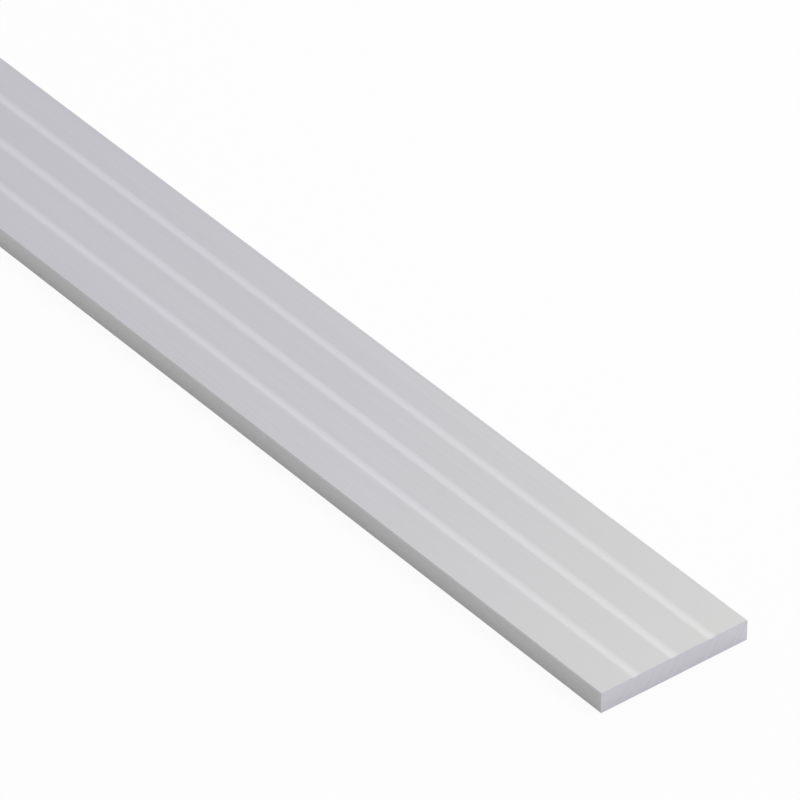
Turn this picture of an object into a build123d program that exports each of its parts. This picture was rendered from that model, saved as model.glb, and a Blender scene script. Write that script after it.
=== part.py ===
"""Extruded aluminium flat bar, one solid piece of stock.

The section is a flat rectangle with small rounded corners. Three very shallow
flutes run the whole length of the top face, the middle one on the centre line.
Both ends are sawn square and lightly deburred.

Frame: millimetres, +Z up, origin at the middle of the underside. The bar runs
along X, its width lies along Y, and it rests on its plain wide face at Z = 0.
"""

import os

from build123d import *

# Stock size
bar_length = 1000.0
bar_width = 30.0
bar_thickness = 4.0

# Section detail
corner_radius = 0.25
flute_count = 3
flute_pitch = 7.7  # centre to centre, across the width
flute_width = 2.2  # across the mouth, at the top face
flute_depth = 0.04  # from the top face to the flute's floor

# Sawn ends
end_break = 0.12  # deburring chamfer round each end face

# A flute is part of a circle that meets the top face at both sides of its mouth
flute_radius = (flute_width**2 / 4 + flute_depth**2) / (2 * flute_depth)
flute_centre_height = bar_thickness - flute_depth + flute_radius

with BuildPart() as flat_bar:
    with BuildSketch(Plane.YZ) as section:
        RectangleRounded(
            bar_width, bar_thickness, corner_radius, align=(Align.CENTER, Align.MIN)
        )
        with Locations((0, flute_centre_height)):
            with GridLocations(flute_pitch, 0, flute_count, 1):
                Circle(flute_radius, mode=Mode.SUBTRACT)
    extrude(amount=bar_length / 2, both=True)

    end_faces = flat_bar.faces().filter_by(Axis.X)
    chamfer(end_faces.edges(), length=end_break)

flat_bar.part.label = "flat_bar"

os.makedirs("parts", exist_ok=True)
export_step(flat_bar.part, "parts/flat_bar.step")
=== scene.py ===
import math

import bpy
from mathutils import Matrix, Vector


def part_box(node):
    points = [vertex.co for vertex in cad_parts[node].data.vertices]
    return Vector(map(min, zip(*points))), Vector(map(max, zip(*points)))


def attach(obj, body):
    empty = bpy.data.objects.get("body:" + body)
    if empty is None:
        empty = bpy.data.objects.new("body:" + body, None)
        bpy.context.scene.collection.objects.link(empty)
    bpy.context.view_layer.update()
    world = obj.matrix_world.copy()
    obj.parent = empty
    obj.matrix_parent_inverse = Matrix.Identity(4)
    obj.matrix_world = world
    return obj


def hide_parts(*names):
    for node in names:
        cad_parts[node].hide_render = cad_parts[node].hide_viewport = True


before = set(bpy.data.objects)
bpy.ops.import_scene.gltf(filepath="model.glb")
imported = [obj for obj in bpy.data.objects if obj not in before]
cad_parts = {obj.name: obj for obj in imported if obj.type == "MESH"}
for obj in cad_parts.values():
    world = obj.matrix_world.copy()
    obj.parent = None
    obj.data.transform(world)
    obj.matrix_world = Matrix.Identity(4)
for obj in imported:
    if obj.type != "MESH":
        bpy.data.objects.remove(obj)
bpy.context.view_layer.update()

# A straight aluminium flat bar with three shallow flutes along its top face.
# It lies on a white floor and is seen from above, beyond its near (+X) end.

MM = 0.001
NODE = "flat_bar"
BODY = "flat_bar_body"

bar_low, bar_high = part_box(NODE)
LENGTH = bar_high.x - bar_low.x
WIDTH = bar_high.y - bar_low.y
THICKNESS = bar_high.z - bar_low.z
NEAR_END = Vector((bar_high.x, 0, bar_low.z))

# Section of the bar
CORNER_RADIUS = 0.25 * MM
FLUTE_COUNT = 3
FLUTE_PITCH = 7.7 * MM
FLUTE_WIDTH = 2.2 * MM
FLUTE_DEPTH = 0.04 * MM
END_BREAK = 0.12 * MM

# How finely the bar is meshed
CORNER_STEPS = 8
FLUTE_STEPS = 24
BREAK_STEPS = 4
LENGTH_STEPS = 50

# Places on the bake map: the bar's skin fills a wide band, and the two ends share a narrow one above it
MAP_MARGIN = 0.01
SKIN_TOP = 0.88
ENDS_BOTTOM = 0.90


def flute_centres():
    """Where the flutes lie across the width."""
    middle = (FLUTE_COUNT - 1) / 2
    return [(i - middle) * FLUTE_PITCH for i in range(FLUTE_COUNT)]


def into_flute(y):
    """Distance from the nearest flute's centre line, as an angle that is pi at its mouth."""
    across = min((y - centre for centre in flute_centres()), key=abs)
    return max(-math.pi, min(math.pi, 2 * math.pi * across / FLUTE_WIDTH))


def flute_bell(y):
    """1 on a flute's centre line, falling smoothly to 0 at its mouth and outside it."""
    return (1 + math.cos(into_flute(y))) / 2


def flute_slope(y):
    """Slope of the top face across the width."""
    return FLUTE_DEPTH * math.pi / FLUTE_WIDTH * math.sin(into_flute(y))


def corner(side):
    """The rounded corner at the top of the +Y side (side 1) or the -Y side (side -1), from +Y to -Y."""
    centre = Vector((side * (WIDTH / 2 - CORNER_RADIUS), THICKNESS - CORNER_RADIUS))
    points = []
    for i in range(CORNER_STEPS + 1):
        turn = math.pi / 2 * i / CORNER_STEPS
        angle = turn if side > 0 else turn + math.pi / 2
        normal = Vector((math.cos(angle), math.sin(angle)))
        points.append((centre + CORNER_RADIUS * normal, normal))
    return points


def upper_half():
    """Section points over the top, from the +Y side to the -Y side, each with its normal."""
    flutes = []
    for centre in reversed(flute_centres()):
        for i in range(FLUTE_STEPS + 1):
            y = centre + FLUTE_WIDTH * (0.5 - i / FLUTE_STEPS)
            height = THICKNESS - FLUTE_DEPTH * flute_bell(y)
            flutes.append((Vector((y, height)), Vector((-flute_slope(y), 1)).normalized()))
    return corner(1) + flutes + corner(-1)


def lower_half():
    """Section points along the plain underside, below the upper half's and in the opposite order."""
    points = []
    for point, normal in reversed(upper_half()):
        if abs(point.x) > WIDTH / 2 - CORNER_RADIUS:
            place = Vector((point.x, THICKNESS - point.y))
            points.append((place, Vector((normal.x, -normal.y))))
        else:
            points.append((Vector((point.x, 0)), Vector((0, -1))))
    return points


def stations():
    """Places along the bar, from its far end to its near end.

    Each is x, how far the section draws in there, and how far its normal turns to the end face.
    """
    half = LENGTH / 2
    near = []
    for i in range(BREAK_STEPS):
        turn = math.pi / 2 * (i + 1) / BREAK_STEPS
        x = half - END_BREAK * (1 - math.sin(turn))
        near.append((x, END_BREAK * (1 - math.cos(turn)), turn))
    straight = half - END_BREAK
    middle = [(straight * (2 * i / LENGTH_STEPS - 1), 0, 0) for i in range(LENGTH_STEPS + 1)]
    far = [(-x, inset, -turn) for x, inset, turn in reversed(near)]
    return far + middle + near


def skin_points(section, top_count):
    """Vertices and normals, ring by ring along the bar, and the material's masks at each of them."""
    vertices, normals = [], []
    masks = {"flute": [], "wear_and_highlight": [], "cut": [], "break": []}
    for x, inset, turn in stations():
        sideways = math.cos(turn)
        for index, (point, normal) in enumerate(section):
            place = point - inset * normal
            vertices.append((x, place.x, place.y))
            normals.append((math.sin(turn), sideways * normal.x, sideways * normal.y))
            on_top = index < top_count
            # The flute mask marks where painted sheen lightens the colour
            masks["flute"].append(flute_bell(point.x) * sideways if on_top else 0.0)
            # Long corners: wear, and painted highlight that lightens their shade
            masks["wear_and_highlight"].append(2 * abs(normal.x * normal.y) * sideways)
            masks["cut"].append(abs(math.sin(turn)))
            masks["break"].append(abs(math.sin(2 * turn)))
    return vertices, normals, masks


def skin_heights(section):
    """Each section point's height on the bake map, by its distance round the section."""
    around = [0.0]
    for i in range(len(section)):
        step = section[(i + 1) % len(section)][0] - section[i][0]
        around.append(around[-1] + step.length)
    band = SKIN_TOP - MAP_MARGIN
    return [MAP_MARGIN + band * distance / around[-1] for distance in around]


def skin_faces(section):
    """Faces between neighbouring rings, and their corners' places on the bake map."""
    faces, places = [], []
    count = len(section)
    heights = skin_heights(section)
    along = [MAP_MARGIN + (1 - 2 * MAP_MARGIN) * (x / LENGTH + 0.5) for x, inset, turn in stations()]
    for ring in range(len(along) - 1):
        first, second = ring * count, (ring + 1) * count
        left, right = along[ring], along[ring + 1]
        for i in range(count):
            after = (i + 1) % count
            low, high = heights[i], heights[i + 1]
            faces.append((first + i, first + after, second + after, second + i))
            places += [(left, low), (left, high), (right, high), (right, low)]
    return faces, places


def end_place(point, left):
    """An end face's point on the bake map."""
    span = 0.5 - 2 * MAP_MARGIN
    u = left + span * (point.x / WIDTH + 0.5)
    v = ENDS_BOTTOM + (1 - MAP_MARGIN - ENDS_BOTTOM) * point.y / THICKNESS
    return u, v


def end_faces(section, top_count, last_ring):
    """Strips from top to underside that close both ends, and their corners' places on the bake map."""
    faces, places = [], []
    count = len(section)
    for i in range(top_count - 1):
        near_strip = (i, i + 1, count - 2 - i, count - 1 - i)
        far_strip = tuple(reversed(near_strip))
        faces.append(far_strip)
        places += [end_place(section[k][0], MAP_MARGIN) for k in far_strip]
        faces.append(tuple(last_ring + k for k in near_strip))
        places += [end_place(section[k][0], 0.5 + MAP_MARGIN) for k in near_strip]
    return faces, places


def make_bar():
    """The bar as one closed mesh, with its own normals, the masks for its material and its bake map."""
    upper = upper_half()
    section = upper + lower_half()
    vertices, normals, masks = skin_points(section, len(upper))
    skin, skin_places = skin_faces(section)
    ends, end_places = end_faces(section, len(upper), len(vertices) - len(section))

    mesh = bpy.data.meshes.new(BODY)
    mesh.from_pydata(vertices, [], skin + ends)
    mesh.shade_smooth()
    mesh.normals_split_custom_set_from_vertices(normals)
    for name, values in masks.items():
        mesh.attributes.new(name, "FLOAT", "POINT").data.foreach_set("value", values)
    bake_map = mesh.uv_layers.new(name="OFBake")
    bake_map.uv.foreach_set("vector", [number for place in skin_places + end_places for number in place])
    bar = bpy.data.objects.new(BODY, mesh)
    bpy.context.scene.collection.objects.link(bar)
    return bar


# Aluminium, as extruded and as sawn
MILL_COLOUR = (0.58, 0.58, 0.58)
# The sawn ends' colour is lighter and bluer than the mill finish, partly their own and partly painted
# light on the end face
CUT_COLOUR_AND_PAINTED_LIGHT = (0.7, 0.695, 0.722)
MILL_ROUGHNESS = 0.5
CUT_ROUGHER = 0.04  # what the sawn ends add to the roughness
BREAK_ROUGHER = 0.12  # what the broken edges round them add
WORN_POLISH = 0.06  # what wear on the long corners takes off it
FLUTE_PAINTED_SHEEN = 0.12  # painted sheen: how much lighter the colour is along a flute
WORN_EDGE_AND_PAINTED_LIGHT = 0.3  # and on the long corners, partly wear and partly painted highlight that lightens their shade

# Grain: marks of the die along the bar, and arcs of the saw across its ends
DIE_MARKS = [
    # width, length and seed of the marks, and their share in the grain
    ((0.35 * MM, 150 * MM, 3.7), 0.7),
    ((2.5 * MM, 400 * MM, 11.3), 0.5),
    ((12 * MM, 45 * MM, 23.9), 0.3),
]
DIE_DETAIL = 2.0
SAW_LINE = 0.5 * MM
SAW_CENTRE = (0, -95 * MM, 70 * MM)
SAW_SHARE = 0.9
SAW_DETAIL = 1.0
GRAIN_COLOUR = 0.2  # how strongly the grain shows in the colour
GRAIN_ROUGHNESS = 0.2  # and in the roughness
GRAIN_HEIGHT = 0.004 * MM


class Graph:
    """Short ways to add nodes to a material or world and join them."""

    def __init__(self, owner):
        owner.use_nodes = True
        self.nodes = owner.node_tree.nodes
        self.links = owner.node_tree.links

    def add(self, kind, inputs=None, **settings):
        """A new node. An input is a number, a tuple or another node's output."""
        node = self.nodes.new(kind)
        for name, value in settings.items():
            setattr(node, name, value)
        for name, value in (inputs or {}).items():
            if isinstance(value, bpy.types.NodeSocket):
                self.links.new(value, node.inputs[name])
            else:
                node.inputs[name].default_value = value
        return node

    def maths(self, operation, first, second=0.0, third=0.0):
        """The result of one Math node."""
        node = self.add("ShaderNodeMath", {0: first, 1: second, 2: third}, operation=operation)
        return node.outputs["Value"]

    def weighed(self, terms, start=0.0):
        """start plus the sum of each value times its share."""
        total = start
        for value, share in terms:
            total = self.maths("MULTIPLY_ADD", value, share, total)
        return total

    def between(self, share, first, second, kind="FLOAT"):
        """first where share is 0, second where it is 1."""
        a, b, result = {"FLOAT": (2, 3, 0), "VECTOR": (4, 5, 1)}[kind]
        return self.add("ShaderNodeMix", {0: share, a: first, b: second}, data_type=kind).outputs[result]

    def mask(self, name):
        """One of the masks that the mesh carries."""
        return self.add("ShaderNodeAttribute", attribute_name=name).outputs["Fac"]


def die_marks(graph, where, width, length, seed):
    """Noise about 0, with marks of this width across the bar and this length along it."""
    spread = graph.add(
        "ShaderNodeVectorMath",
        {0: where, 1: (1 / length, 1 / width, 1 / width), 2: (seed, seed, seed)},
        operation="MULTIPLY_ADD",
    )
    settings = {"Vector": spread.outputs[0], "Scale": 1.0, "Detail": DIE_DETAIL}
    noise = graph.add("ShaderNodeTexNoise", settings)
    return graph.maths("SUBTRACT", noise.outputs["Fac"], 0.5)


def saw_lines(graph, where):
    """Noise about 0 that changes only with the distance from the saw's centre."""
    flat = graph.add("ShaderNodeVectorMath", {0: where, 1: (0, 1, 1)}, operation="MULTIPLY").outputs[0]
    away = graph.add("ShaderNodeVectorMath", {0: flat, 1: SAW_CENTRE}, operation="DISTANCE")
    lines = graph.maths("DIVIDE", away.outputs["Value"], SAW_LINE)
    settings = {"W": lines, "Scale": 1.0, "Detail": SAW_DETAIL}
    noise = graph.add("ShaderNodeTexNoise", settings, noise_dimensions="1D")
    return graph.maths("SUBTRACT", noise.outputs["Fac"], 0.5)


def aluminium():
    """Satin aluminium with die lines, sawn ends and wear on the long corners; painted sheen along the
    flutes, and painted light on the long corners and the sawn ends.
    """
    material = bpy.data.materials.new("mill_aluminium")
    graph = Graph(material)
    where = graph.add("ShaderNodeTexCoord").outputs["Object"]
    flute, wear_and_highlight, cut, broken = (graph.mask(name) for name in ("flute", "wear_and_highlight", "cut", "break"))
    die = graph.weighed([(die_marks(graph, where, *mark), share) for mark, share in DIE_MARKS])
    saw = graph.maths("MULTIPLY", saw_lines(graph, where), SAW_SHARE)
    grain = graph.between(cut, die, saw)

    # Colour scale: real grain, painted sheen along the flutes, and wear with painted highlight on the
    # long corners
    grain_and_painted_light = graph.weighed([(grain, GRAIN_COLOUR), (flute, FLUTE_PAINTED_SHEEN), (wear_and_highlight, WORN_EDGE_AND_PAINTED_LIGHT)], 1.0)
    # The sawn ends take their colour with painted light in it
    plain = graph.between(cut, MILL_COLOUR, CUT_COLOUR_AND_PAINTED_LIGHT, "VECTOR")
    colour = graph.add("ShaderNodeVectorMath", {0: plain, "Scale": grain_and_painted_light}, operation="SCALE")
    shares = [(grain, GRAIN_ROUGHNESS), (wear_and_highlight, -WORN_POLISH), (cut, CUT_ROUGHER), (broken, BREAK_ROUGHER)]
    roughness = graph.weighed(shares, MILL_ROUGHNESS)
    bump = graph.add("ShaderNodeBump", {"Height": grain, "Distance": GRAIN_HEIGHT, "Strength": 1.0})

    shader = graph.nodes["Principled BSDF"]
    shader.inputs["Metallic"].default_value = 1.0
    graph.links.new(colour.outputs["Vector"], shader.inputs["Base Color"])
    graph.links.new(roughness, shader.inputs["Roughness"])
    graph.links.new(bump.outputs["Normal"], shader.inputs["Normal"])
    return material


# Floor
FLOOR_REACH = 60.0
FLOOR_DROP = 0.02 * MM  # keeps the floor clear of the bar's underside
FLOOR_COLOUR = (0.95, 0.95, 0.95, 1)
# The share of plain white in the floor, as the camera and as the metal see it.
# The rest takes light and shadow.
FLOOR_WHITE_SEEN = 0.92
FLOOR_WHITE_MIRRORED = 0.2


def make_floor():
    """A wide white floor that keeps a soft part of the bar's shadow."""
    mesh = bpy.data.meshes.new("floor")
    r = FLOOR_REACH
    mesh.from_pydata([(-r, -r, 0), (r, -r, 0), (r, r, 0), (-r, r, 0)], [], [(0, 1, 2, 3)])
    floor = bpy.data.objects.new("floor", mesh)
    floor.location.z = bar_low.z - FLOOR_DROP
    bpy.context.scene.collection.objects.link(floor)

    material = bpy.data.materials.new("floor_white")
    graph = Graph(material)
    graph.nodes.clear()
    path = graph.add("ShaderNodeLightPath").outputs
    mirrored = graph.maths("MAXIMUM", path["Is Glossy Ray"], path["Is Transmission Ray"])
    share = graph.weighed([(path["Is Camera Ray"], FLOOR_WHITE_SEEN), (mirrored, FLOOR_WHITE_MIRRORED)])
    lit = graph.add("ShaderNodeBsdfDiffuse", {"Color": FLOOR_COLOUR})
    white = graph.add("ShaderNodeEmission", {"Strength": 1.0})
    mix = graph.add("ShaderNodeMixShader", {0: share, 1: lit.outputs[0], 2: white.outputs[0]})
    graph.add("ShaderNodeOutputMaterial", {"Surface": mix.outputs[0]})
    mesh.materials.append(material)


# Sky: a soft light, brighter behind the bar (+Y) than in front of it
SKY_BACK = (0.97, 0.956, 1.06)
SKY_FRONT = (0.427, 0.428, 0.395)
SKY_BACK_AT = 0.2  # places along Y, on a sky of radius 1
SKY_FRONT_AT = -0.7


def make_sky():
    """The world: two soft colours that blend from the front to the back."""
    world = bpy.data.worlds.new("sky")
    bpy.context.scene.world = world
    graph = Graph(world)
    graph.nodes.clear()
    towards = graph.add("ShaderNodeTexCoord").outputs["Generated"]
    y = graph.add("ShaderNodeSeparateXYZ", {0: towards}).outputs["Y"]
    reach = {"Value": y, "From Min": SKY_FRONT_AT, "From Max": SKY_BACK_AT}
    share = graph.add("ShaderNodeMapRange", reach, interpolation_type="SMOOTHSTEP").outputs[0]
    colour = graph.between(share, SKY_FRONT, SKY_BACK, "VECTOR")
    light = graph.add("ShaderNodeBackground", {"Color": colour, "Strength": 1.0})
    graph.add("ShaderNodeOutputWorld", {"Surface": light.outputs[0]})


# Key: a soft lamp close behind the near end, which makes that end of the top face a little lighter
KEY_AZIMUTH = math.radians(110)  # from +X towards +Y
KEY_ELEVATION = math.radians(50)
KEY_DISTANCE = 0.4
KEY_SIZE = 0.36
KEY_WATTS = 0.23
KEY_COLOUR = (0.985, 1.035, 0.65)


def make_key():
    """A round area lamp aimed at the near end. The camera doesn't see it."""
    data = bpy.data.lights.new("key", "AREA")
    data.shape = "DISK"
    data.size = KEY_SIZE
    data.energy = KEY_WATTS
    data.color = KEY_COLOUR
    lamp = bpy.data.objects.new("key", data)
    out = Vector((math.cos(KEY_AZIMUTH), math.sin(KEY_AZIMUTH), 0)) * math.cos(KEY_ELEVATION)
    out.z = math.sin(KEY_ELEVATION)
    lamp.location = NEAR_END + KEY_DISTANCE * out
    lamp.rotation_mode = "QUATERNION"
    lamp.rotation_quaternion = (-out).to_track_quat("-Z", "Y")
    lamp.visible_camera = False
    bpy.context.scene.collection.objects.link(lamp)


# Camera, fitted to the bar's edges in the photograph
LENS = 396.1
VIEW_AZIMUTH = math.radians(51.62)  # 0 looks along +Y
VIEW_ELEVATION = math.radians(36.89)
VIEW_DISTANCE = 1.3854
NEAR_END_RIGHT = 0.04319  # metres from the middle of the picture to the near end
NEAR_END_BELOW = 0.04352


def make_camera():
    """The camera at the photograph's viewing angle."""
    a, e = VIEW_AZIMUTH, VIEW_ELEVATION
    back = Vector((math.sin(a) * math.cos(e), -math.cos(a) * math.cos(e), math.sin(e)))
    right = Vector((math.cos(a), math.sin(a), 0))
    up = back.cross(right)
    data = bpy.data.cameras.new("camera")
    data.lens = LENS
    camera = bpy.data.objects.new("camera", data)
    middle = NEAR_END - NEAR_END_RIGHT * right + NEAR_END_BELOW * up
    camera.location = middle + VIEW_DISTANCE * back
    camera.rotation_mode = "QUATERNION"
    camera.rotation_quaternion = Matrix((right, up, back)).transposed().to_quaternion()
    bpy.context.scene.collection.objects.link(camera)
    bpy.context.scene.camera = camera


bar = make_bar()
bar.data.materials.append(aluminium())
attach(bar, "root")
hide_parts(NODE)

make_floor()
make_sky()
make_key()
make_camera()
bpy.context.scene.view_settings.view_transform = "Standard"
